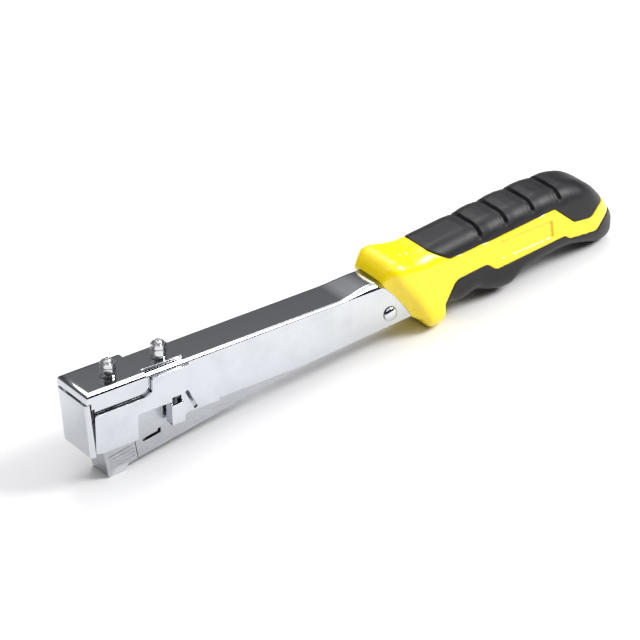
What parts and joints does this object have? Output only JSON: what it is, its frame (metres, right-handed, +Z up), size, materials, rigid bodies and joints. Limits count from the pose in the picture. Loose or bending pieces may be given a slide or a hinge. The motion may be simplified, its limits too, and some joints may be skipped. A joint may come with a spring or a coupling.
{
  "type": "staple_gun",
  "caption": "Hammer tacker: bright steel channel with a bolted stapling head, a spring-loaded magazine hinged inside it, and a two-material moulded handle",
  "frame": {"origin": "centre of the bounding box in X and Y, on the floor the tool stands on", "axes": "+X from the striking head to the handle, +Z up; the tool stands on the toe of its nose and on the heel of its handle; the pictured side faces -Y"},
  "size_m": [0.3304, 0.0336, 0.0619],
  "materials": {
    "bright_plate": "bright nickel-chrome plate on folded steel sheet, mirror-like, with light handling marks",
    "plated_fasteners": "bright zinc plate on turned and cold-formed steel",
    "hardened_steel": "ground and oil-blacked tool steel",
    "spring_steel": "plain rolled spring steel, satin",
    "die_casting": "as-cast grey zinc alloy, fine matte grain",
    "yellow_plastic": "glossy injection-moulded yellow plastic",
    "soft_grip": "soft-touch black over-moulding, satin"
  },
  "bodies": {
    "tool_body": {"body_channel": "bright_plate", "head_cap": "bright_plate", "front_cover": "bright_plate", "side_plate_right": "bright_plate", "side_plate_left": "bright_plate", "driver_block": "hardened_steel", "driver_blade": "hardened_steel", "blade_clamp": "hardened_steel", "clamp_screw_right": "hardened_steel", "clamp_screw_left": "hardened_steel", "pivot_rivet": "bright_plate", "pivot_washer_right": "spring_steel", "pivot_washer_left": "spring_steel", "return_spring": "spring_steel", "handle_core": "yellow_plastic", "top_grip": "soft_grip", "lower_grip": "soft_grip", "tang_pin": "hardened_steel", "stud_front": "plated_fasteners", "lock_washer_front": "plated_fasteners", "nut_front": "plated_fasteners", "jam_nut_front": "plated_fasteners", "stud_rear": "plated_fasteners", "lock_washer_rear": "plated_fasteners", "nut_rear": "plated_fasteners", "jam_nut_rear": "plated_fasteners"},
    "magazine": {"magazine_channel": "bright_plate", "nose_casting": "die_casting", "nose_pin": "hardened_steel", "staple_rail": "spring_steel", "guide_rod": "spring_steel", "rod_bracket": "spring_steel", "spring_bridge": "spring_steel", "stop_lug_right": "hardened_steel", "stop_lug_left": "hardened_steel", "pusher_spring": "spring_steel"},
    "staple_pusher": {"pusher": "spring_steel"}
  },
  "joints": [
    {"name": "magazine_pivot", "type": "hinge", "parent": "tool_body", "child": "magazine", "pos_m": [0.01552, 0, 0.0196], "axis": [0, 1, 0], "range_deg": [0, 5.6], "stiffness_Nm_per_rad": 6, "springref_deg": -8.59, "deforming": ["return_spring"]},
    {"name": "pusher_slide", "type": "slide", "parent": "magazine", "child": "staple_pusher", "axis": [0.997, 0, 0.0777], "range_m": [0, 0.1], "stiffness_N_per_m": 60, "springref_m": -0.05, "deforming": ["pusher_spring"]}
  ]
}
